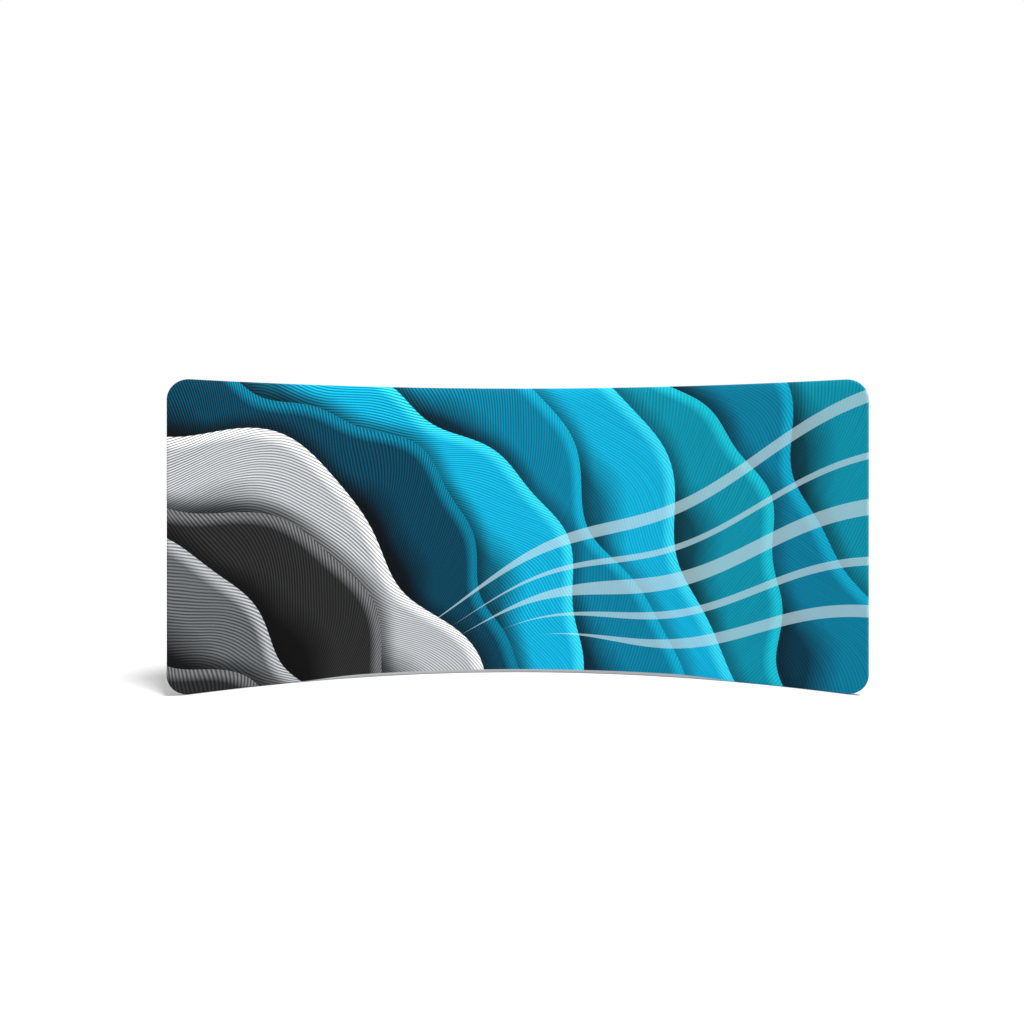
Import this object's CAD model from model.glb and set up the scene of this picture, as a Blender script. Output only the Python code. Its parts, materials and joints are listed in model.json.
"""A curved display wall: a tube frame under a printed stretch cover that zips up along its back."""

import json
import math

import bmesh
import bpy
import numpy as np
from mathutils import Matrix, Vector
from mathutils import noise as field


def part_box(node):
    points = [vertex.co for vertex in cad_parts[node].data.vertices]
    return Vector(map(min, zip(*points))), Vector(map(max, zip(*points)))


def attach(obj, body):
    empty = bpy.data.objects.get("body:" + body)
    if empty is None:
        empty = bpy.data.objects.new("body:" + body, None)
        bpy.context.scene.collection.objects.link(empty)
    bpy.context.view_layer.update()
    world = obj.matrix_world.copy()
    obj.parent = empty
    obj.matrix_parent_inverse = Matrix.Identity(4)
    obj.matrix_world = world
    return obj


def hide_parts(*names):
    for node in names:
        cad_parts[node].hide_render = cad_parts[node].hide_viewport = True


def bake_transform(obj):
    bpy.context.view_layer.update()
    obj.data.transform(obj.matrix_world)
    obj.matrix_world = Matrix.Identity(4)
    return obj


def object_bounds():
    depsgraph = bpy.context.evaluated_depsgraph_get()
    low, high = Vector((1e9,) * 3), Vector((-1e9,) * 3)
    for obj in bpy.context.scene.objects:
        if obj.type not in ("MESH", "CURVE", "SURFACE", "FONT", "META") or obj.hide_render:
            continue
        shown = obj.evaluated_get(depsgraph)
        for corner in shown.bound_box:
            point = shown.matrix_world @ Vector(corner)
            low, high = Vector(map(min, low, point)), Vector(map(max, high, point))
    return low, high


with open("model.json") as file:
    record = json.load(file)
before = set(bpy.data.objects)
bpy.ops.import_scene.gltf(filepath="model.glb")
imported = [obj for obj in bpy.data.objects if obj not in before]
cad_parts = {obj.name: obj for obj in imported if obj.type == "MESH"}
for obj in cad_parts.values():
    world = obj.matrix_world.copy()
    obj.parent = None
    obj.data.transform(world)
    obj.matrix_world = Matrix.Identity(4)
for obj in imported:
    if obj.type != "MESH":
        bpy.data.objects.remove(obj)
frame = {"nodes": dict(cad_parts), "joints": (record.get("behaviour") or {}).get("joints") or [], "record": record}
cad_low, cad_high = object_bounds()

# ---- Sizes of the wall in metres, as the frame has them ----

MM = 0.001
BOW_R = 4800 * MM  # the bow, to the middle of the rail tubes
CORNER_R = 140 * MM  # the rounded corners, to the middle of the tube
TAIL = 70 * MM  # straight length between the bow and a corner
TUBE_R = 16 * MM
COVER_GAP = 0.5 * MM
CLOTH_T = 0.8 * MM
HEM_FLAT = 0.4 * MM
UPRIGHT_AT = 800 * MM  # the inner uprights, along the rail from the middle
UPRIGHT_R = 14 * MM
ZIP_Z = 62 * MM
ZIP_MARGIN = 60 * MM  # from the zip's ends to the ends of the bow
ZIP_SLOT = 30 * MM
SLOT_SPARE = 9 * MM  # the slot runs on past the chain for the end stops
TAPE_T = 0.6 * MM
TAPE_GAP = 0.8 * MM
CHAIN_W = 6.5 * MM
CHAIN_H = 2.4 * MM

WRAP = TUBE_R + COVER_GAP + CLOTH_T  # outer radius of the cloth where it goes round a tube
RAIL_LOW = WRAP - HEM_FLAT
RAIL_HIGH = cad_high.z - WRAP
TURN = TAIL + CORNER_R
HALF_ANGLE = math.asin((cad_high.x - WRAP) / math.hypot(BOW_R, TURN)) - math.atan2(TURN, BOW_R)
HALF_BOW = BOW_R * HALF_ANGLE  # half the bow's length along the rail line
HALF_WALL = HALF_BOW + TURN  # from the middle of the wall to the end posts, along the rail line
STRAIGHT = HALF_WALL - CORNER_R  # and to the corners' centres
SPAN, MID_HEIGHT = RAIL_HIGH - RAIL_LOW, (RAIL_LOW + RAIL_HIGH) / 2
FRONT_REACH = BOW_R * math.cos(HALF_ANGLE) - TURN * math.sin(HALF_ANGLE) - WRAP
BOW_Y = -(BOW_R + WRAP + CHAIN_H + FRONT_REACH) / 2
HALF_ZIP = HALF_BOW - ZIP_MARGIN
HALF_SLOT = HALF_ZIP + SLOT_SPARE
SLOT_LOW, SLOT_HIGH = ZIP_Z - ZIP_SLOT / 2, ZIP_Z + ZIP_SLOT / 2

# ---- How the cloth hangs on the frame ----

FRONT_BULGE = 14 * MM  # the hollow side is drawn forward between the rails
FOOT_LEAN, TOP_LEAN = 4 * MM, 10 * MM  # how far forward it leans as it leaves each rail
LEAN_RUN = 32 * MM  # length over which that lean dies away
LEAN_HOLD = 0.2  # length over which the end posts hold the lean back
BACK_DRAW = 9 * MM  # the outer side is drawn in between the rails
UPRIGHT_DRAW = 2.2 * MM  # and less where it lies on an upright
UPRIGHT_SPREAD = 0.16  # how far an upright's ridge reaches to each side
BULGE_POWER, DRAW_POWER = 1.5, 0.7  # the more, the flatter the cloth next to the rails
FOOT_HOLD = (0.095, 0.60)  # heights between which the zip's hold on the back dies away
END_HOLD = 0.9  # length over which the end posts hold the cloth flat
HEM_LIFT = 0.9 * MM  # the back's hem lies on the zip tapes
HEM_W = 10 * MM
HEM_FADE = 1.6 * HEM_W  # the hem's lift has died away at this distance from the slot
TAPE_TUCK = 6 * MM  # how far a tape runs on under the hem

# ---- Small creases in the back: fans inside its corners, and upright ones above the zip ----

CREASE_H = 3 * MM
CREASE_FADE = 0.03  # length over which a crease fades next to a tube or a hem
CORNER_ZONE = CORNER_R + 60 * MM  # how far the fans reach from the rims
FAN_GROWTH = (0.3, 0.7)  # shares of the corner's radius between which a fan grows
FAN_FOLDS, FAN_CHANGE = 5.5, 5.0  # folds of a fan per radian, and their changes per metre outwards
RIGHT_SEED, TOP_SEED = 7.3, 3.1  # each corner has its own folds
ZIP_FOLDS, ZIP_CHANGE = 26, 2.5  # the same above the zip, per metre along it and upwards
ZIP_END_FADE = 0.05  # length over which they fade to each side of the slot's ends
CREASE_TOP = 0.45  # they die away at this height


# ---- Places on the wall ----


def wall_point(along, out, z):
    """A place from its length along the rail line, its distance behind that line and its height."""
    bent = min(max(along, -HALF_BOW), HALF_BOW)
    angle, past = bent / BOW_R, along - bent
    reach = BOW_R + out
    return (
        reach * math.sin(angle) + past * math.cos(angle),
        BOW_Y + reach * math.cos(angle) - past * math.sin(angle),
        z,
    )


def wall_outward(along):
    """The direction that points away from the bow's centre."""
    angle = min(max(along, -HALF_BOW), HALF_BOW) / BOW_R
    return (math.sin(angle), math.cos(angle), 0.0)


def smooth(low, high, x):
    """0 below low and 1 above high, with a smooth step between them."""
    t = min(max((x - low) / (high - low), 0.0), 1.0)
    return t * t * (3 - 2 * t)


def span_of_column(along):
    """Lowest and highest place on the tube's middle line in one upright column of the cloth."""
    past = max(abs(along) - STRAIGHT, 0.0)
    rise = CORNER_R - math.sqrt(max(CORNER_R**2 - past**2, 0.0))
    return RAIL_LOW + rise, RAIL_HIGH - rise


def add_object(name, data):
    """A new object in the scene, at the origin."""
    added = bpy.data.objects.new(name, data)
    bpy.context.scene.collection.objects.link(added)
    return added


# ---- Camera, light and floor ----

CAMERA_AT = (-0.058, -6.080, 1.617)
LENS = 27.86
SENSOR = 36.0
CAMERA_YAW = math.radians(-0.137)
SHIFT_Y = -0.0384
SUN_FROM = Vector((0.70, -0.72, 2.3))
SUN_STRENGTH = 3.0
SUN_SOFTNESS = math.radians(16)
AMBIENT = 0.5
FLOOR_SIDE = 80.0
FLOOR_DROP = 0.5 * MM
FLOOR_TONE = 0.8
FLOOR_GLOW = 0.1


def add_camera():
    data = bpy.data.cameras.new("camera")
    data.sensor_width = SENSOR
    data.lens = LENS
    data.shift_y = SHIFT_Y
    camera = add_object("camera", data)
    camera.location = CAMERA_AT
    camera.rotation_euler = (math.radians(90), 0, CAMERA_YAW)
    bpy.context.scene.camera = camera


def add_sun():
    data = bpy.data.lights.new("sun", "SUN")
    data.energy = SUN_STRENGTH
    data.angle = SUN_SOFTNESS
    sun = add_object("sun", data)
    sun.rotation_euler = SUN_FROM.to_track_quat("Z", "Y").to_euler()


# ---- Nodes, written as expressions ----


class Port:
    """An output socket of a node tree. Arithmetic on numbers adds Math nodes to the tree."""

    def __init__(self, tree, socket=None):
        self.tree = tree
        self.socket = socket

    def node(self, kind, settings=None, sockets=None, out=0):
        """Adds a node, applies its settings, then feeds its sockets with values or other ports."""
        added = self.tree.nodes.new(kind)
        for name, value in (settings or {}).items():
            if name == "stops":
                set_stops(added.color_ramp, value)
            else:
                setattr(added, name, value)
        for name, value in (sockets or {}).items():
            if isinstance(value, Port):
                self.tree.links.new(value.socket, added.inputs[name])
            else:
                added.inputs[name].default_value = value
        return Port(self.tree, added.outputs[out] if added.outputs else None)

    def math(self, operation, *values):
        return self.node("ShaderNodeMath", {"operation": operation}, dict(enumerate(values)))

    def __add__(self, other):
        return self.math("ADD", self, other)

    def __radd__(self, other):
        return self.math("ADD", other, self)

    def __sub__(self, other):
        return self.math("SUBTRACT", self, other)

    def __rsub__(self, other):
        return self.math("SUBTRACT", other, self)

    def __mul__(self, other):
        return self.math("MULTIPLY", self, other)

    def __rmul__(self, other):
        return self.math("MULTIPLY", other, self)

    def __truediv__(self, other):
        return self.math("DIVIDE", self, other)

    def __pow__(self, other):
        return self.math("POWER", self, other)

    def __abs__(self):
        return self.math("ABSOLUTE", self)

    def sine(self):
        return self.math("SINE", self)

    def step(self, low, high):
        """0 below low and 1 above high, with a smooth step between them."""
        ends = {"Value": self, "From Min": low, "From Max": high}
        return self.node("ShaderNodeMapRange", {"interpolation_type": "SMOOTHSTEP"}, ends)

    def over(self, low, high):
        """The colour high where this mask is 1, and low where it is 0."""
        sockets = {0: self, 6: low, 7: high}
        return self.node("ShaderNodeMix", {"data_type": "RGBA"}, sockets, out=2)

    def ramp(self, stops):
        return self.node("ShaderNodeValToRGB", {"stops": stops}, {0: self})

    def tint(self, brightness):
        """This colour, times a number."""
        settings = {"operation": "SCALE"}
        return self.node("ShaderNodeVectorMath", settings, {0: self, "Scale": brightness})

    def parts(self):
        """The three numbers of this vector."""
        split = self.node("ShaderNodeSeparateXYZ", None, {0: self})
        return [Port(self.tree, s) for s in split.socket.node.outputs]


def set_stops(ramp, stops):
    """Gives a colour ramp its stops: pairs of a place and a colour."""
    while len(ramp.elements) < len(stops):
        ramp.elements.new(0.5)
    for element, (place, colour) in zip(ramp.elements, stops):
        element.position = place
        element.color = colour


def shown(red, green, blue):
    """The linear colour that shows on screen as these values, from 0 to 1."""
    linear = [
        c / 12.92 if c <= 0.04045 else ((c + 0.055) / 1.055) ** 2.4 for c in (red, green, blue)
    ]
    return (*linear, 1.0)


def new_material(name, **constants):
    """A material, its shader with constant sockets set, and a port to start expressions from."""
    material = bpy.data.materials.new(name)
    material.use_nodes = True
    tree = material.node_tree
    shader = next(n for n in tree.nodes if n.type == "BSDF_PRINCIPLED")
    for socket, value in constants.items():
        shader.inputs[socket.replace("_", " ")].default_value = value
    return material, shader, Port(tree)


def feed(shader, start, **sockets):
    """Links ports to the shader's varying sockets."""
    for name, port in sockets.items():
        start.tree.links.new(port.socket, shader.inputs[name.replace("_", " ")])


def bump(start, height, distance):
    return start.node("ShaderNodeBump", None, {"Height": height, "Distance": distance})


def noise(start, vector, scale, detail=2.0, roughness=0.5):
    sockets = {"Vector": vector, "Scale": scale, "Detail": detail, "Roughness": roughness}
    return start.node("ShaderNodeTexNoise", None, sockets)


def vector_of(start, x, y, z=0.0):
    return start.node("ShaderNodeCombineXYZ", None, {0: x, 1: y, 2: z})


def cloth_places(start):
    """Places on the cloth in metres: along the wall, and up it."""
    across, up, _ = start.node("ShaderNodeUVMap", {"uv_map": "cloth"}).parts()
    return across, up


def knit(across, up):
    """Height of a warp knit, from 0 to 1: fine upright wales crossed by slanted courses."""
    ribs = (across * (2 * math.pi / WALE)).sine()
    loops = ((up + across * COURSE_SLANT) * (2 * math.pi / COURSE)).sine()
    return 0.5 + WALE_SHARE * ribs + COURSE_SHARE * (ribs * loops)


# ---- The print: layered waves with ribbed slopes ----

# Each wave's tones: deep in its hollow, on its slope, and along its crest
CHARCOAL = (shown(0.01, 0.01, 0.01), shown(0.15, 0.15, 0.15), shown(0.42, 0.42, 0.43))
SLATE = (shown(0.09, 0.09, 0.10), shown(0.38, 0.39, 0.40), shown(0.68, 0.69, 0.70))
MIST = (shown(0.38, 0.39, 0.40), shown(0.72, 0.73, 0.74), shown(0.95, 0.95, 0.95))
INK = (shown(0.00, 0.06, 0.10), shown(0.00, 0.25, 0.34), shown(0.00, 0.48, 0.60))
TEAL = (shown(0.00, 0.22, 0.30), shown(0.00, 0.50, 0.63), shown(0.03, 0.68, 0.82))
CYAN = (shown(0.00, 0.38, 0.48), shown(0.03, 0.70, 0.86), shown(0.20, 0.87, 0.98))
TURQUOISE = (shown(0.00, 0.28, 0.34), shown(0.01, 0.58, 0.68), shown(0.08, 0.78, 0.86))
WAVE_CENTRE = (-3.3, -0.9)  # the crests bend round this place, beyond the lower left corner
WAVE_STEP = 0.52  # from one crest to the next
FIRST_CREST = 1.45
WAVES = [
    CHARCOAL, SLATE, CHARCOAL, MIST, INK, CYAN,
    TEAL, CYAN, TURQUOISE, TEAL, TURQUOISE, TEAL,
]
# A crest's sways: width, length, what each wave of a group adds to it, group size, change of phase
CREST_SWAYS = [(0.15, 2.3, 0.37, 3, 1.9), (0.035, 0.83, 0.11, 4, 2.7)]
CREST_SOFT = 3 * MM
# Down a wave's slope: share of its reach, and tone, from 2 for its crest to 0 for its hollow
SLOPE_STOPS = [(0.0, 2), (0.06, 2), (0.16, 1), (0.62, 1), (1.0, 0)]
SLOPE_REACH = 1.25 * WAVE_STEP
SHADE_REACH = 0.16  # how far a crest's shade falls on the wave behind it
RIB_PITCH = 21 * MM
RIB_SLANTS = (38, 62, 50, 71)  # in degrees; from wave to wave the ribs lean the other way
RIB_BEND = 0.05  # how far stronger ribs are carried along
STREAKS = (60, 3)  # per metre, across the ribs and down the slope
RIB_LIGHT, STREAK_LIGHT = 0.80, 0.36  # brightness of the slope, and of its streaks
CLOUD_SCALE = 1.7  # clouds that vary the ribs' strength
RELIEF = (0.08, 0.44)  # least strength of the ribs, and what the clouds add
GROWS_SOFT = (-2.2, 1.2)  # the print softens along the wall between these places
BOLD_RIBS, SOFT_RIBS = 2.0, 0.6  # strength of the ribs at the left and at the right
BOLD_SHADE, SOFT_SHADE = 0.78, 0.5  # darkness under the crests at the left and at the right
RIBBON_TONE = shown(0.80, 0.93, 0.96)
RIBBON_COVER = 0.5
RIBBON_SWAY, RIBBON_WAVE, RIBBON_PHASE = 0.09, 2.3, 1.1  # their sway's width, length and phase
RIBBON_GROWTH = 1.6  # length over which a ribbon widens from its tip
# Each ribbon's tip along the wall and up it, its slope and its half width
RIBBONS = [
    (-0.95, 0.36, 0.48, 0.050), (-0.75, 0.33, 0.39, 0.026), (-0.60, 0.28, 0.31, 0.060),
    (-0.30, 0.25, 0.22, 0.032), (0.05, 0.20, 0.13, 0.046),
]


def wave_edge(reach, along, number):
    """How far inside its crest a place is, for one wave of the print."""
    crest = FIRST_CREST + WAVE_STEP * number
    for width, length, growth, group, phase in CREST_SWAYS:
        turns = 2 * math.pi / (length + growth * (number % group))
        crest = crest + width * (along * turns + phase * number).sine()
    return crest - reach


def wave_ribs(start, inside, along, number, relief):
    """Brightness of the fine ribs that slant down a wave's slope."""
    slant = math.radians(RIB_SLANTS[number % len(RIB_SLANTS)] * (-1) ** number)
    across_ribs = along * math.cos(slant) + inside * math.sin(slant) + RIB_BEND * relief
    line = (across_ribs * (2 * math.pi / RIB_PITCH)).sine()
    place = vector_of(start, across_ribs * STREAKS[0], inside * STREAKS[1], float(number))
    return RIB_LIGHT + line * relief + STREAK_LIGHT * noise(start, place, 1.0)


def wave_print(start, across, up):
    """The printed colour at a place on the cloth."""
    right, rise = across - WAVE_CENTRE[0], up - WAVE_CENTRE[1]
    reach = (right * right + rise * rise) ** 0.5
    angle = start.math("ARCTAN2", rise, right)
    cloud = noise(start, vector_of(start, across, up), CLOUD_SCALE, detail=3.0)
    softness = across.step(*GROWS_SOFT)
    relief = (RELIEF[0] + RELIEF[1] * cloud) * (BOLD_RIBS + (SOFT_RIBS - BOLD_RIBS) * softness)
    gloom = BOLD_SHADE + (SOFT_SHADE - BOLD_SHADE) * softness
    colour = start.node("ShaderNodeRGB")
    colour.socket.default_value = CYAN[1]
    for number, tones in reversed(list(enumerate(WAVES))):
        along = angle * (FIRST_CREST + WAVE_STEP * number)
        inside = wave_edge(reach, along, number)
        slope = (inside / SLOPE_REACH).ramp([(place, tones[tone]) for place, tone in SLOPE_STOPS])
        ribbed = slope.tint(wave_ribs(start, inside, along, number, relief))
        shade = 1.0 - gloom * inside.step(-SHADE_REACH, 0.0)
        colour = inside.step(-CREST_SOFT, 0.0).over(colour.tint(shade), ribbed)
    sway = RIBBON_SWAY * (across * (2 * math.pi / RIBBON_WAVE) + RIBBON_PHASE).sine()
    for tip, height, slope, half_width in RIBBONS:
        middle = height + (across - tip) * slope + sway
        inside = half_width * across.step(tip, tip + RIBBON_GROWTH) - abs(up - middle)
        colour = (inside.step(0.0, CREST_SOFT) * RIBBON_COVER).over(colour, RIBBON_TONE)
    return colour


# ---- Materials ----

WALE, COURSE = 1.4 * MM, 1.9 * MM  # pitch of the knit's upright and slanted lines
COURSE_SLANT = 0.5
WALE_SHARE, COURSE_SHARE = 0.3, 0.2  # of the knit's height, to each side of its middle
KNIT_H = 0.12 * MM
KNIT_DARK, KNIT_SHADE = 0.97, 0.06  # brightness between its loops, and what their height adds
KNIT_GRAIN = 0.12  # what their height adds to the roughness
BARE_CLOTH = shown(0.72, 0.72, 0.725)
PLAIN_CLOTH = [(0.3, shown(0.875, 0.88, 0.885)), (0.7, shown(0.885, 0.89, 0.895))]
PLAIN_PATCHES = 1.1  # scale of the faint patches in it
PRINT_STOP = 11 * MM  # in the middle of the foot the print stops this far above the tube's middle
PRINT_TUCK = 82 * MM  # towards the ends it stops this much lower
PRINT_TURNS = (1.2, 2.6)  # places from the wall's middle between which it goes down
PRINT_SOFT = 2 * MM
GHOST = 0.06  # how much darker the cloth is over a tube
GHOST_EDGE, UPRIGHT_CORE, TUBE_CORE = 1.1, 0.5, 0.6  # where it begins and is full, in tube radii
TWILL, HERRINGBONE, TAPE_RELIEF = 0.9 * MM, 3 * MM, 0.1 * MM
TAPE_TONES = [(0.0, shown(0.70, 0.71, 0.72)), (1.0, shown(0.80, 0.805, 0.81))]
NYLON_TONES = [(0.3, shown(0.5766, 0.5952, 0.6138)), (0.7, shown(0.62, 0.64, 0.66))]
SPECKLE_SCALE, SPECKLE_RELIEF = 900.0, 0.03 * MM
THREAD_TONES = [(0.3, shown(0.82, 0.825, 0.83)), (0.7, shown(0.92, 0.925, 0.93))]
TWIST_SCALE, TWIST_RELIEF = 1500.0, 0.05 * MM
# Each metal's tone, least roughness, what its grain adds to that, the grain's scale and its relief
METALS = {
    "zip_metal": ((0.80, 0.80, 0.82), 0.22, 0.08, 700.0, 0.01 * MM),
    "bright_steel": ((0.74, 0.74, 0.76), 0.28, 0.08, 800.0, 0.01 * MM),
    "satin_aluminium": ((0.80, 0.81, 0.83), 0.34, 0.10, 1200.0, 0.01 * MM),
    "mill_aluminium": ((0.70, 0.72, 0.75), 0.40, 0.12, 500.0, 0.02 * MM),
    "polished_steel": ((0.82, 0.82, 0.83), 0.15, 0.05, 900.0, 0.005 * MM),
}
MARK_SCALE, MARK_GRAIN, MARK_TONE = 35.0, 0.08, 0.86  # marks from handling: scale, roughness, tone
MARK_STOPS = (0.35, 0.65)  # where in their noise a metal is duller, and where it has its full tone


def printed_fabric():
    """Dye-printed stretch knit. Along the middle of the foot the bare cloth rolls into view."""
    material, shader, start = new_material(
        "printed_fabric", Specular_IOR_Level=0.12, Sheen_Weight=0.02
    )
    across, up = cloth_places(start)
    printed = wave_print(start, across, up)
    stop = -PRINT_STOP + PRINT_TUCK * abs(across).step(*PRINT_TURNS)
    bare = ((RAIL_LOW - stop) - up).step(0.0, PRINT_SOFT)
    colour = bare.over(printed, BARE_CLOTH)
    weave = knit(across, up)
    feed(
        shader, start,
        Base_Color=colour.tint(KNIT_DARK + KNIT_SHADE * weave),
        Roughness=0.74 + KNIT_GRAIN * weave,
        Normal=bump(start, weave, KNIT_H),
    )
    return material


def plain_fabric():
    """Unprinted pale knit; the tubes behind it show through as faint lines."""
    material, shader, start = new_material(
        "plain_fabric", Specular_IOR_Level=0.2, Sheen_Weight=0.06
    )
    across, up = cloth_places(start)
    weave = knit(across, up)
    ghost = abs(abs(across) - UPRIGHT_AT).step(UPRIGHT_R * GHOST_EDGE, UPRIGHT_R * UPRIGHT_CORE)
    for from_tube in (up - RAIL_LOW, up - RAIL_HIGH, abs(across) - HALF_WALL):
        over_tube = abs(from_tube).step(TUBE_R * GHOST_EDGE, TUBE_R * TUBE_CORE)
        ghost = start.math("MAXIMUM", ghost, over_tube)
    colour = noise(start, vector_of(start, across, up), PLAIN_PATCHES).ramp(PLAIN_CLOTH)
    feed(
        shader, start,
        Base_Color=colour.tint(KNIT_DARK + KNIT_SHADE * weave - GHOST * ghost),
        Roughness=0.76 + KNIT_GRAIN * weave,
        Normal=bump(start, weave, KNIT_H),
    )
    return material


def object_places(start):
    return start.node("ShaderNodeTexCoord", None, None, out=3)


def zip_tape_cloth():
    """Woven tape, in a herringbone."""
    material, shader, start = new_material("zip_tape", Sheen_Weight=0.1)
    across, up = cloth_places(start)
    zigzag = abs(start.math("FRACT", up / HERRINGBONE) - 0.5)
    twill = ((across + zigzag * HERRINGBONE) * (2 * math.pi / TWILL)).sine()
    height = 0.5 + 0.5 * twill
    feed(
        shader, start,
        Base_Color=height.ramp(TAPE_TONES),
        Roughness=0.7 + 0.1 * twill,
        Normal=bump(start, height, TAPE_RELIEF),
    )
    return material


def moulded_nylon():
    """The zip teeth's nylon, with a faint speckle from its mould."""
    material, shader, start = new_material("zip_coil", Specular_IOR_Level=0.5)
    speckle = noise(start, object_places(start), SPECKLE_SCALE, detail=3.0)
    feed(
        shader, start,
        Base_Color=speckle.ramp(NYLON_TONES),
        Roughness=0.35 + 0.15 * speckle,
        Normal=bump(start, speckle, SPECKLE_RELIEF),
    )
    return material


def sewing_thread():
    """Pale spun thread."""
    material, shader, start = new_material("thread", Sheen_Weight=0.3)
    twist = noise(start, object_places(start), TWIST_SCALE)
    feed(
        shader, start,
        Base_Color=twist.ramp(THREAD_TONES),
        Roughness=0.5 + 0.2 * twist,
        Normal=bump(start, twist, TWIST_RELIEF),
    )
    return material


def metal(name):
    """Metal with a fine grain, and faint marks from handling."""
    tone, roughness, grain, grain_scale, relief = METALS[name]
    material, shader, start = new_material(name, Metallic=1.0)
    places = object_places(start)
    fine = noise(start, places, grain_scale, detail=3.0)
    marks = noise(start, places, MARK_SCALE, detail=4.0, roughness=0.65)
    dull = tuple(MARK_TONE * c for c in tone)
    feed(
        shader, start,
        Base_Color=marks.ramp([(at, shown(*c)) for at, c in zip(MARK_STOPS, (dull, tone))]),
        Roughness=roughness + grain * fine + MARK_GRAIN * marks,
        Normal=bump(start, fine, relief),
    )
    return material


def seen_directly(start):
    """1 where a surface is seen, also in metal or through glass, and 0 for the light it gives."""
    ray = start.node("ShaderNodeLightPath")
    camera, glossy, through = (
        Port(start.tree, ray.socket.node.outputs["Is " + kind + " Ray"])
        for kind in ("Camera", "Glossy", "Transmission")
    )
    return start.math("MAXIMUM", start.math("MAXIMUM", camera, glossy), through)


def white_stage():
    """A floor that shows white to the camera and in reflections, and keeps the wall's shadow."""
    material = bpy.data.materials.new("floor")
    material.use_nodes = True
    tree = material.node_tree
    tree.nodes.clear()
    start = Port(tree)
    direct = seen_directly(start)
    white = (FLOOR_TONE, FLOOR_TONE, FLOOR_TONE, 1.0)
    matt = start.node("ShaderNodeBsdfDiffuse", None, {"Color": white})
    glow = start.node(
        "ShaderNodeEmission", None, {"Color": (1, 1, 1, 1), "Strength": direct * FLOOR_GLOW}
    )
    both = start.node("ShaderNodeAddShader", None, {0: matt, 1: glow})
    start.node("ShaderNodeOutputMaterial", None, {"Surface": both})
    return material


def light_world():
    """An even white sky: plain level light, and pure white where it is seen."""
    world = bpy.data.worlds.new("studio")
    bpy.context.scene.world = world
    world.use_nodes = True
    tree = world.node_tree
    tree.nodes.clear()
    start = Port(tree)
    strength = AMBIENT + (1.0 - AMBIENT) * seen_directly(start)
    sky = start.node("ShaderNodeBackground", None, {"Color": (1, 1, 1, 1), "Strength": strength})
    start.node("ShaderNodeOutputWorld", None, {"Surface": sky})


def add_floor():
    half = FLOOR_SIDE / 2
    corners = [(-half, -half), (half, -half), (half, half), (-half, half)]
    mesh = bpy.data.meshes.new("floor")
    mesh.from_pydata([(x, y, -FLOOR_DROP) for x, y in corners], [], [(0, 1, 2, 3)])
    mesh.materials.append(white_stage())
    add_object("floor", mesh)


# ---- Meshes ----


def smooth_piece(name, mesh, material):
    """A piece that shades smooth, of one material."""
    mesh.polygons.foreach_set("use_smooth", [True] * len(mesh.polygons))
    mesh.materials.append(material)
    return add_object(name, mesh)


def cloth_piece(name, points, faces, material, places):
    """A piece of cloth; places are its points' places on the cloth, for its UV map."""
    mesh = bpy.data.meshes.new(name)
    mesh.from_pydata(points, [], faces)
    layer = mesh.uv_layers.new(name="cloth")
    corner_points = np.empty(len(mesh.loops), dtype=np.int32)
    mesh.loops.foreach_get("vertex_index", corner_points)
    layer.data.foreach_set("uv", np.asarray(places, float)[corner_points].ravel())
    return smooth_piece(name, mesh, material)


def thicken(piece, thickness):
    """Gives a sheet its thickness, inward from its outer face."""
    solid = piece.modifiers.new("thickness", "SOLIDIFY")
    solid.thickness = thickness
    solid.offset = -1
    solid.use_even_offset = False


CORNER_STEP = 3  # degrees from column to column round a corner
DIGITS = 6  # the columns' places are kept to a micrometre
FINE_STEPS = (-60, -40, -25, -15, -8, 0, 8, 15, 25, 40, 60)  # columns round a line, in millimetres


def cloth_columns(count, fine_at=()):
    """Places of the cloth's columns: even, but closer round the corners and at the given lines."""
    places = set(np.linspace(-STRAIGHT, STRAIGHT, count).round(DIGITS))
    for line in fine_at:
        places |= {round(line + step * MM, DIGITS) for step in FINE_STEPS}
    for degrees in range(CORNER_STEP, 90 + 1, CORNER_STEP):
        corner = STRAIGHT + CORNER_R * math.sin(math.radians(degrees))
        places |= {round(corner, DIGITS), round(-corner, DIGITS)}
    return sorted(places)


def share_of_height(z):
    """A height as a share of the way from the lower rail to the upper one."""
    return (z - RAIL_LOW) / SPAN


def arch(z, power):
    """0 at both rails and 1 midway between them."""
    return math.sin(math.pi * min(max(share_of_height(z), 0.0), 1.0)) ** power


def drawn_front(along, z):
    """How far the hollow side stands forward of the rails' front."""
    low, high = span_of_column(along)
    from_end = HALF_WALL - abs(along)
    bulge = arch(z, BULGE_POWER) * smooth(0.0, END_HOLD, from_end)
    lean = FOOT_LEAN + (TOP_LEAN - FOOT_LEAN) * share_of_height(z)
    for from_rail in (z - low, high - z):
        lean *= 1 - math.exp(-from_rail / LEAN_RUN)
    return FRONT_BULGE * bulge + lean * smooth(0.0, LEAN_HOLD, from_end)


def drawn_back(along, z):
    """How far the outer side is drawn in behind the rails' back."""
    held = smooth(0.0, END_HOLD, HALF_WALL - abs(along)) * smooth(*FOOT_HOLD, z)
    ridge = 1 / (1 + ((abs(along) - UPRIGHT_AT) / UPRIGHT_SPREAD) ** 2)
    depth = BACK_DRAW + (UPRIGHT_DRAW - BACK_DRAW) * ridge
    return depth * held * arch(z, DRAW_POWER)


def folds(x, y):
    """Soft uneven folds, from 0 to 1."""
    return 0.5 + 0.5 * field.noise(Vector((x, y, 0.0)))


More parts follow.
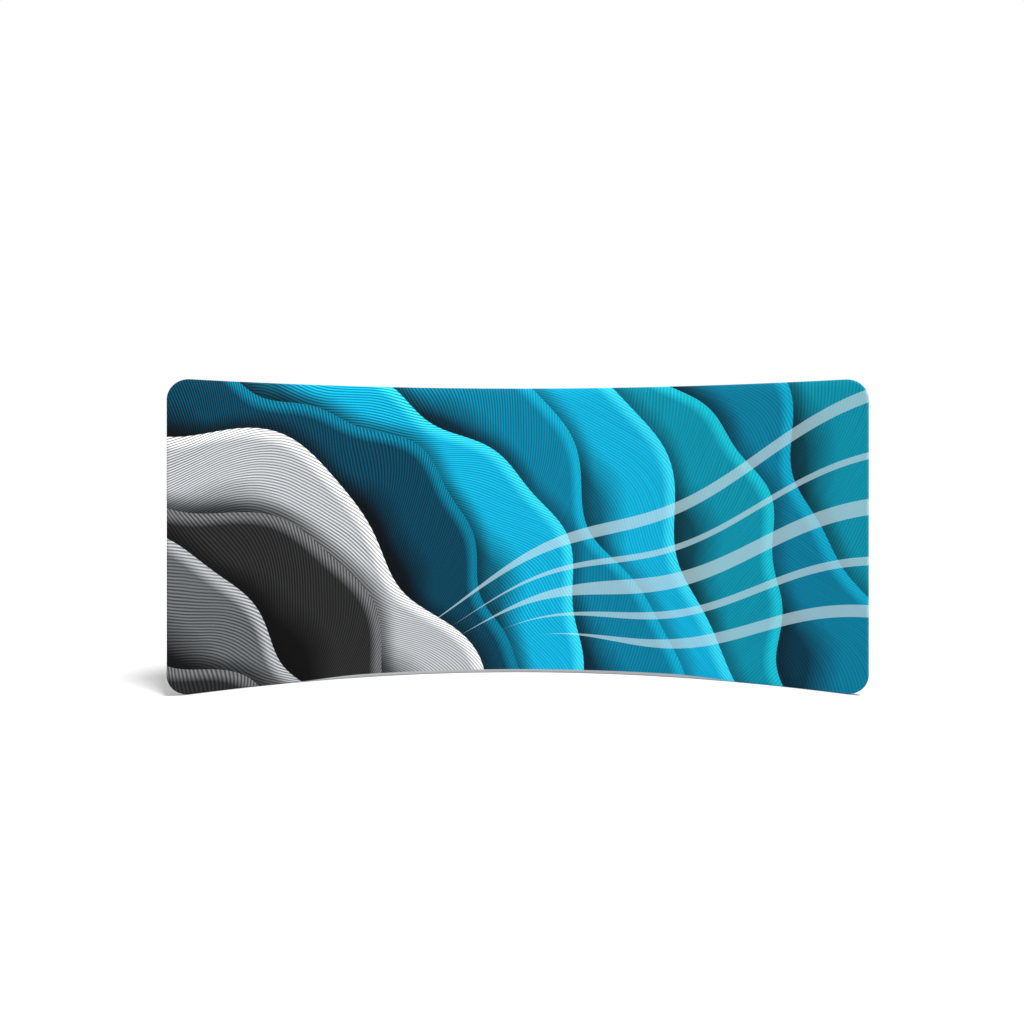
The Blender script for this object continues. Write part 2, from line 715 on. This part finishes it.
def creases(along, z):
    """How far small creases lift the back, in fans inside its corners and above the zip."""
    side, rise = abs(along) - STRAIGHT, abs(z - MID_HEIGHT) - (SPAN / 2 - CORNER_R)
    reach = math.hypot(side, rise)
    from_rim = CORNER_R - math.hypot(max(side, 0.0), max(rise, 0.0))
    seed = RIGHT_SEED * (along > 0) + TOP_SEED * (z > MID_HEIGHT)
    fan = folds(FAN_FOLDS * math.atan2(rise, side) + seed, FAN_CHANGE * reach)
    for past_centre in (side, rise):
        fan *= smooth(CORNER_R - CORNER_ZONE, CREASE_FADE, past_centre)
    fan *= smooth(*(share * CORNER_R for share in FAN_GROWTH), reach)
    fan *= smooth(0.0, CREASE_FADE, from_rim)
    foot = SLOT_HIGH + HEM_FADE
    upright = folds(ZIP_FOLDS * along, ZIP_CHANGE * z)
    upright *= smooth(foot, foot + CREASE_FADE, z) * (1 - smooth(foot, CREASE_TOP, z))
    upright *= smooth(-ZIP_END_FADE, ZIP_END_FADE, HALF_SLOT - abs(along))
    return CREASE_H * max(fan, upright)


def rim_of_sheet(columns, heights):
    """The sheet's rim, anticlockwise from the front: each point's grid place and way outward."""
    last_column, last_row = len(columns) - 1, len(heights) - 1

    def outward(along, up):
        past = max(abs(along) - STRAIGHT, 0.0) / CORNER_R
        return (math.copysign(past, along), up * math.sqrt(max(1 - past * past, 0.0)))

    rim = [((i, 0), outward(columns[i], -1)) for i in range(last_column + 1)]
    rim += [((last_column, j), (1.0, 0.0)) for j in range(1, last_row)]
    rim += [((i, last_row), outward(columns[i], 1)) for i in range(last_column, -1, -1)]
    rim += [((0, j), (-1.0, 0.0)) for j in range(last_row - 1, 0, -1)]
    return rim


FRONT_COLUMNS, FRONT_ROWS = 281, 78
RAIL_ROWS = (0, 5, 10, 16, 23, 32, 43, 56, 72, 92)  # closer rows next to the rails, in millimetres
EVEN_FROM = 0.05  # share of the height at which the even rows start
WRAP_STEPS = 10


def printed_cover(material):
    """The printed front sheet, drawn over the tubes all round to their back."""
    columns = cloth_columns(FRONT_COLUMNS)
    close = [row * MM / SPAN for row in RAIL_ROWS]
    even = np.linspace(EVEN_FROM, 1 - EVEN_FROM, FRONT_ROWS)
    heights = [*close, *even, *(1 - share for share in reversed(close))]
    points, places = [], []
    for along in columns:
        low, high = span_of_column(along)
        for share in heights:
            z = low + (high - low) * share
            points.append(wall_point(along, -WRAP - drawn_front(along, z), z))
            places.append((along, z))
    rows = len(heights)
    faces = [
        (i * rows + j, (i + 1) * rows + j, (i + 1) * rows + j + 1, i * rows + j + 1)
        for i in range(len(columns) - 1) for j in range(rows - 1)
    ]
    rim = rim_of_sheet(columns, heights)
    ring = [i * rows + j for (i, j), _ in rim]
    for step in range(1, WRAP_STEPS + 1):
        turn = math.pi * step / WRAP_STEPS
        next_ring = []
        for index, ((i, j), (out_x, out_z)) in enumerate(rim):
            along, z = places[i * rows + j]
            reach = WRAP * math.sin(turn)
            next_ring.append(len(points))
            height = max(z + out_z * reach, 0.0)
            points.append(wall_point(along + out_x * reach, -WRAP * math.cos(turn), height))
            places.append((along + out_x * WRAP * turn, z + out_z * WRAP * turn))
        faces += [
            (ring[k], next_ring[k], next_ring[(k + 1) % len(rim)], ring[(k + 1) % len(rim)])
            for k in range(len(rim))
        ]
        ring = next_ring
    piece = cloth_piece("printed_cover", points, faces, material, places)
    thicken(piece, CLOTH_T)
    return piece


BACK_COLUMNS = 521
FOOT_ROWS, BACK_ROWS, HEAD_ROWS = 12, 30, 20
HEM_STEPS = (0, 5, 10, 13, 16)  # close rows and columns over the slot's hem, in millimetres


def hem_lift(along, z):
    """How far the back stands out where its hem lies on the zip tapes."""
    beside = max(abs(along) - HALF_SLOT, abs(z - ZIP_Z) - ZIP_SLOT / 2, 0.0)
    return HEM_LIFT * (1 - smooth(HEM_W, HEM_FADE, beside))


def plain_back(material):
    """The plain back sheet, with the slot for the zip near its foot."""
    hem = [step * MM for step in HEM_STEPS]
    edges = [HALF_SLOT + step for step in hem]
    columns = cloth_columns(BACK_COLUMNS, (-UPRIGHT_AT, UPRIGHT_AT))
    columns = sorted({*columns, *edges, *(-e for e in edges)})
    zone_low, zone_high = RAIL_LOW + CORNER_ZONE, RAIL_HIGH - CORNER_ZONE
    rows_up = [
        *np.linspace(RAIL_LOW, SLOT_LOW - hem[-1], 2, endpoint=False),
        *(SLOT_LOW - step for step in reversed(hem)),
        *(SLOT_HIGH + step for step in hem[:-1]),
        *np.linspace(SLOT_HIGH + hem[-1], zone_low, FOOT_ROWS, endpoint=False),
        *np.linspace(zone_low, zone_high, BACK_ROWS, endpoint=False),
        *np.linspace(zone_high, RAIL_HIGH, HEAD_ROWS),
    ]
    heights = [share_of_height(z) for z in rows_up]
    points, places = [], []
    for along in columns:
        low, high = span_of_column(along)
        for share in heights:
            z = low + (high - low) * share
            out = WRAP - drawn_back(along, z) + hem_lift(along, z) + creases(along, z)
            points.append(wall_point(along, out, z))
            places.append((along, z))
    rows = len(heights)
    faces = []
    for i in range(len(columns) - 1):
        for j in range(rows - 1):
            middle = (columns[i] + columns[i + 1]) / 2
            z = RAIL_LOW + SPAN * (heights[j] + heights[j + 1]) / 2
            if abs(middle) < HALF_SLOT and SLOT_LOW < z < SLOT_HIGH:
                continue
            a, b = i * rows + j, (i + 1) * rows + j
            faces.append((a, a + 1, b + 1, b))
    piece = cloth_piece("plain_back", points, faces, material, places)
    bm = bmesh.new()
    bm.from_mesh(piece.data)
    bmesh.ops.delete(bm, geom=[v for v in bm.verts if not v.link_faces], context="VERTS")
    bm.to_mesh(piece.data)
    bm.free()
    thicken(piece, CLOTH_T)
    return piece


CORD_W, CORD_H = 1.8 * MM, 0.5 * MM  # the thick cord of a tape's inner edge
CORD_OUTLINE = ((0, 0.6), (0.5, 1), (1, 0.5), (1.3, 0))  # in shares of its width and height
TAPE_STEPS = 400


def zip_tape(name, side, material):
    """One woven tape; side is 1 above the chain and -1 below."""
    near, far = TAPE_GAP / 2, ZIP_SLOT / 2 + TAPE_TUCK
    back, front = WRAP - TAPE_T, WRAP
    cord = [(near + width * CORD_W, front + height * CORD_H) for width, height in CORD_OUTLINE]
    outline = [(near, back), *cord, (far, front), (far, back)]
    if side < 0:
        outline.reverse()
    half_tape = HALF_SLOT + TAPE_TUCK
    points, places, faces = [], [], []
    for k in range(TAPE_STEPS + 1):
        along = -half_tape + 2 * half_tape * k / TAPE_STEPS
        for away, out in outline:
            points.append(wall_point(along, out, ZIP_Z + side * away))
            places.append((along, side * away))
    count = len(outline)
    for k in range(TAPE_STEPS):
        for m in range(count):
            a, b = k * count + m, k * count + (m + 1) % count
            faces.append((a, b, b + count, a + count))
    faces.append(tuple(reversed(range(count))))
    faces.append(tuple(range(TAPE_STEPS * count, (TAPE_STEPS + 1) * count)))
    return cloth_piece(name, points, faces, material, places)


# ---- What repeats: stitches and zip teeth ----

THREAD_R = 0.32 * MM
STITCH_SINK, STITCH_RISE = 0.8, 1.9  # how deep a stitch's ends sit and its bow pulls, in radii
BOW_STEPS, THREAD_SIDES, HEAD_SIDES = 4, 5, 8
HEM_MARGIN = 4 * MM  # from the slot's edge to the row of stitches round it
HEM_PITCH, HEM_LENGTH = 3.6 * MM, 3.0 * MM
SEAM_INSET = 3 * MM  # from the back sheet's rim to the seam
SEAM_PITCH, SEAM_LENGTH, SEAM_SLANT = 3.6 * MM, 4.6 * MM, math.radians(38)
SEAM_COLUMNS, SEAM_ROWS = 400, 200
TACK_HALF = 4 * MM  # half a bar tack's height
TACK_PITCH, TACK_LENGTH = 0.55 * MM, 3.0 * MM
TACK_AT = HALF_SLOT - 2 * MM  # past the end stops
TOOTH_PITCH, TOOTH_W = 3.2 * MM, 1.2 * MM
TOOTH_HEAD = 0.78 * MM  # radius of the round end that locks
HEAD_PAST = 0.6  # how far its middle stands past the zip's middle, in radii
TOOTH_LIFT = 0.1 * MM  # the teeth stand this far clear of the tapes' faces
PATH_STEPS = 600


def path_object(name, stations):
    """A line of edges through stations (along, out, z), each with the direction it faces."""
    mesh = bpy.data.meshes.new(name)
    edges = [(k, k + 1) for k in range(len(stations) - 1)]
    mesh.from_pydata([wall_point(*s) for s in stations], edges, [])
    facing = mesh.attributes.new("facing", "FLOAT_VECTOR", "POINT")
    facing.data.foreach_set("vector", [c for s in stations for c in wall_outward(s[0])])
    return add_object(name, mesh)


def new_tree(name, sizes):
    """A geometry tree with a path, named sizes and a material; also returns its input ports."""
    tree = bpy.data.node_groups.new(name, "GeometryNodeTree")
    tree.interface.new_socket("Path", in_out="INPUT", socket_type="NodeSocketGeometry")
    for size in sizes:
        tree.interface.new_socket(size, in_out="INPUT", socket_type="NodeSocketFloat")
    tree.interface.new_socket("Material", in_out="INPUT", socket_type="NodeSocketMaterial")
    tree.interface.new_socket("Pieces", in_out="OUTPUT", socket_type="NodeSocketGeometry")
    inputs = tree.nodes.new("NodeGroupInput")
    return tree, {s.name: Port(tree, s) for s in inputs.outputs if s.name}


def seated_instances(start, given, instance):
    """Copies of a shape, a pitch apart: their x along the path, their z the way the path faces."""
    line = start.node("GeometryNodeMeshToCurve", None, {"Mesh": given["Path"]})
    even = start.node(
        "GeometryNodeResampleCurve", {"mode": "LENGTH"}, {"Curve": line, "Length": given["Pitch"]}
    )
    facing = start.node(
        "GeometryNodeInputNamedAttribute", {"data_type": "FLOAT_VECTOR"}, {"Name": "facing"}
    )
    tangent = start.node("GeometryNodeInputTangent")
    upright = start.node("FunctionNodeAlignRotationToVector", {"axis": "Z"}, {"Vector": facing})
    turned = start.node(
        "FunctionNodeAlignRotationToVector", {"axis": "X", "pivot_axis": "Z"},
        {"Rotation": upright, "Vector": tangent},
    )
    sockets = {"Points": even, "Instance": instance, "Rotation": turned}
    return start.node("GeometryNodeInstanceOnPoints", None, sockets)


def finish_tree(start, instances, material):
    """Ends a tree: real, smooth meshes of one material."""
    real = start.node("GeometryNodeRealizeInstances", None, {"Geometry": instances})
    coated = start.node("GeometryNodeSetMaterial", None, {"Geometry": real, "Material": material})
    start.node("NodeGroupOutput", None, {"Pieces": coated})


def stitch_tree():
    """Short bowed threads along a path; slanted ones lean to and fro by turns."""
    tree, given = new_tree("stitches", ("Pitch", "Length", "Slant"))
    start = Port(tree)
    half, sink = given["Length"] * 0.5, -STITCH_SINK * THREAD_R
    bow = start.node("GeometryNodeCurveQuadraticBezier", None, {
        "Resolution": BOW_STEPS,
        "Start": vector_of(start, half * -1, 0.0, sink),
        "Middle": (0.0, 0.0, STITCH_RISE * THREAD_R),
        "End": vector_of(start, half, 0.0, sink),
    })
    section = start.node(
        "GeometryNodeCurvePrimitiveCircle", None, {"Resolution": THREAD_SIDES, "Radius": THREAD_R}
    )
    thread = start.node("GeometryNodeCurveToMesh", None, {
        "Curve": bow, "Profile Curve": section, "Fill Caps": True,
    })
    seated = seated_instances(start, given, thread)
    flip = start.math("MODULO", start.node("GeometryNodeInputIndex"), 2.0) * 2.0 - 1.0
    slanted = start.node("GeometryNodeRotateInstances", None, {
        "Instances": seated, "Rotation": vector_of(start, 0.0, 0.0, flip * given["Slant"]),
    })
    finish_tree(start, slanted, given["Material"])
    return tree


def tooth_tree():
    """Zip teeth along a path: a body that stands on one tape, and a round head past the middle."""
    tree, given = new_tree("zip_teeth", ("Pitch", "Side"))
    start = Port(tree)
    reach, height = CHAIN_W / 2, CHAIN_H - TOOTH_LIFT
    body = start.node("GeometryNodeMeshCube", None, {"Size": (TOOTH_W, reach, height)})
    head = start.node("GeometryNodeMeshCylinder", None, {
        "Vertices": HEAD_SIDES, "Radius": TOOTH_HEAD, "Depth": height,
    })
    tooth = tree.nodes.new("GeometryNodeJoinGeometry")
    for part, sideways in ((body, -reach / 2), (head, HEAD_PAST * TOOTH_HEAD)):
        place = vector_of(start, 0.0, given["Side"] * sideways, height / 2)
        moved = start.node("GeometryNodeTransform", None, {"Geometry": part, "Translation": place})
        tree.links.new(moved.socket, tooth.inputs[0])
    seated = seated_instances(start, given, Port(tree, tooth.outputs[0]))
    finish_tree(start, seated, given["Material"])
    return tree


def made_of_tree(name, path, tree, material, **sizes):
    """Runs a tree on a path and keeps the result as a plain mesh."""
    modifier = path.modifiers.new("repeat", "NODES")
    modifier.node_group = tree
    values = {"Material": material, **{key.title(): value for key, value in sizes.items()}}
    for item in tree.interface.items_tree:
        if item.in_out == "INPUT" and item.name in values:
            modifier[item.identifier] = values[item.name]
    bpy.context.view_layer.update()
    evaluated = path.evaluated_get(bpy.context.evaluated_depsgraph_get())
    mesh = bpy.data.meshes.new_from_object(evaluated)
    mesh.name = name
    bpy.data.objects.remove(path)
    return add_object(name, mesh)


def hem_stitches(tree, material):
    """The row all round the zip's slot that holds the cloth down on the tapes."""
    low, high, end = SLOT_LOW - HEM_MARGIN, SLOT_HIGH + HEM_MARGIN, HALF_SLOT + HEM_MARGIN
    out = WRAP + HEM_LIFT
    along = np.linspace(-end, end, PATH_STEPS)
    stations = [(a, out, low) for a in along] + [(a, out, high) for a in reversed(along)]
    path = path_object("hem_path", [*stations, stations[0]])
    return made_of_tree(
        "hem_stitches", path, tree, material, pitch=HEM_PITCH, length=HEM_LENGTH, slant=0.0
    )


def bar_tack(name, along, tree, material):
    """Close threads that sew the two tapes together past an end stop."""
    stations = [(along, WRAP + TAPE_T / 2, ZIP_Z + side * TACK_HALF) for side in (-1, 1)]
    path = path_object("tack_path", stations)
    return made_of_tree(
        name, path, tree, material, pitch=TACK_PITCH, length=TACK_LENGTH, slant=math.radians(90)
    )


def seam_stitches(tree, material):
    """The zigzag seam that joins the two sheets, on the back of the tubes all round."""
    columns = cloth_columns(SEAM_COLUMNS)
    heights = [j / SEAM_ROWS for j in range(SEAM_ROWS + 1)]
    stations = []
    for (i, j), (out_x, out_z) in rim_of_sheet(columns, heights):
        low, high = span_of_column(columns[i])
        z = low + (high - low) * heights[j]
        stations.append((columns[i] - out_x * SEAM_INSET, WRAP, z - out_z * SEAM_INSET))
    stations.append(stations[0])
    path = path_object("seam_path", stations)
    return made_of_tree(
        "seam_stitches", path, tree, material,
        pitch=SEAM_PITCH, length=SEAM_LENGTH, slant=SEAM_SLANT,
    )


def zip_teeth(name, side, tree, material):
    """One tape's teeth; the lower ones stand half a pitch further along."""
    first = -HALF_ZIP - side * TOOTH_PITCH / 4
    stations = [
        (first + 2 * HALF_ZIP * k / PATH_STEPS, WRAP + TOOTH_LIFT, ZIP_Z)
        for k in range(PATH_STEPS + 1)
    ]
    path = path_object(name + "_path", stations)
    return made_of_tree(name, path, tree, material, pitch=TOOTH_PITCH, side=float(side))


# ---- Pieces cut from the frame's own ----

SAME_PLACE = 1e-6  # points closer than this are one
FLAT_ANGLE = math.radians(1)  # edges flatter than this are dissolved
EDGE_ANGLE = math.radians(35)  # and those steeper than this are real edges
CAST_EDGE, EDGE_SEGMENTS = 0.3 * MM, 2  # the rounded edges of the slider and its pull
SPRING_REACH = 60 * MM  # a leaf spring lies within this distance of its button


def node_copy(node):
    """A CAD node's shape as one clean mesh to edit."""
    bm = bmesh.new()
    bm.from_mesh(frame["nodes"][node].data)
    bmesh.ops.remove_doubles(bm, verts=bm.verts, dist=SAME_PLACE)
    return bm


def piece_of(bm, name, material):
    """A smooth piece with the shape of an edited mesh."""
    mesh = bpy.data.meshes.new(name)
    bm.to_mesh(mesh)
    bm.free()
    return smooth_piece(name, mesh, material)


def cast_copy(node, material):
    """A CAD node's shape with its edges rounded."""
    bm = node_copy(node)
    bmesh.ops.dissolve_limit(bm, angle_limit=FLAT_ANGLE, verts=bm.verts, edges=bm.edges)
    piece = piece_of(bm, node + "_cast", material)
    bevel = piece.modifiers.new("edges", "BEVEL")
    bevel.width = CAST_EDGE
    bevel.segments = EDGE_SEGMENTS
    bevel.limit_method = "ANGLE"
    bevel.angle_limit = EDGE_ANGLE
    bevel.harden_normals = True
    return piece


def leaf_spring(joint, material):
    """The spring behind a lock button: one leaf goes in with the button, and its foot stays."""
    button = joint["child"]
    low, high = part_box(button)
    bm = node_copy("button_springs")
    others = [v for v in bm.verts if (v.co - (low + high) / 2).length > SPRING_REACH]
    bmesh.ops.delete(bm, geom=others, context="VERTS")
    piece = piece_of(bm, button.replace("button", "spring"), material)
    piece.data.set_sharp_from_angle(angle=EDGE_ANGLE)
    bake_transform(piece)
    return piece


# ---- The wall ----


def dress_frame(finishes):
    """Gives every CAD node the finish of its slot."""
    for part in frame["record"]["subparts"]:
        finish = finishes.get(part["material_slot"])
        if finish is None:
            continue
        node = frame["nodes"][part["node"]]
        node.data.materials.clear()
        node.data.materials.append(finish)


def build_wall():
    thread = sewing_thread()
    nylon = moulded_nylon()
    zip_metal, bright_steel = metal("zip_metal"), metal("bright_steel")
    dress_frame({
        "tube": metal("satin_aluminium"),
        "spigot": metal("mill_aluminium"),
        "button": metal("polished_steel"),
        "hardware": bright_steel,
        "zip_metal": zip_metal,
    })
    cover = printed_cover(printed_fabric())
    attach(cover, "frame")
    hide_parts("front_graphic")
    back = plain_back(plain_fabric())
    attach(back, "frame")
    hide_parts("back_panel")
    stitches, teeth = stitch_tree(), tooth_tree()
    tape_cloth = zip_tape_cloth()
    for place, side in (("upper", 1), ("lower", -1)):
        tape = zip_tape("woven_tape_" + place, side, tape_cloth)
        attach(tape, "frame")
        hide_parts("zip_tape_" + place)
        row = zip_teeth("zip_teeth_" + place, side, teeth, nylon)
        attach(row, "frame")
        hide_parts("zip_chain")
    for sewn in (
        hem_stitches(stitches, thread),
        seam_stitches(stitches, thread),
        bar_tack("left_bar_tack", -TACK_AT, stitches, thread),
        bar_tack("right_bar_tack", TACK_AT, stitches, thread),
    ):
        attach(sewn, "frame")
    for joint in frame["joints"]:
        if joint["type"] == "slide":
            spring = leaf_spring(joint, bright_steel)
            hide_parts("button_springs")
    for node in ("zip_slider", "zip_pull"):
        piece = cast_copy(node, zip_metal)
        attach(piece, node)
        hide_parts(node)


bpy.context.scene.view_settings.view_transform = "Standard"
add_camera()
add_sun()
light_world()
add_floor()
build_wall()
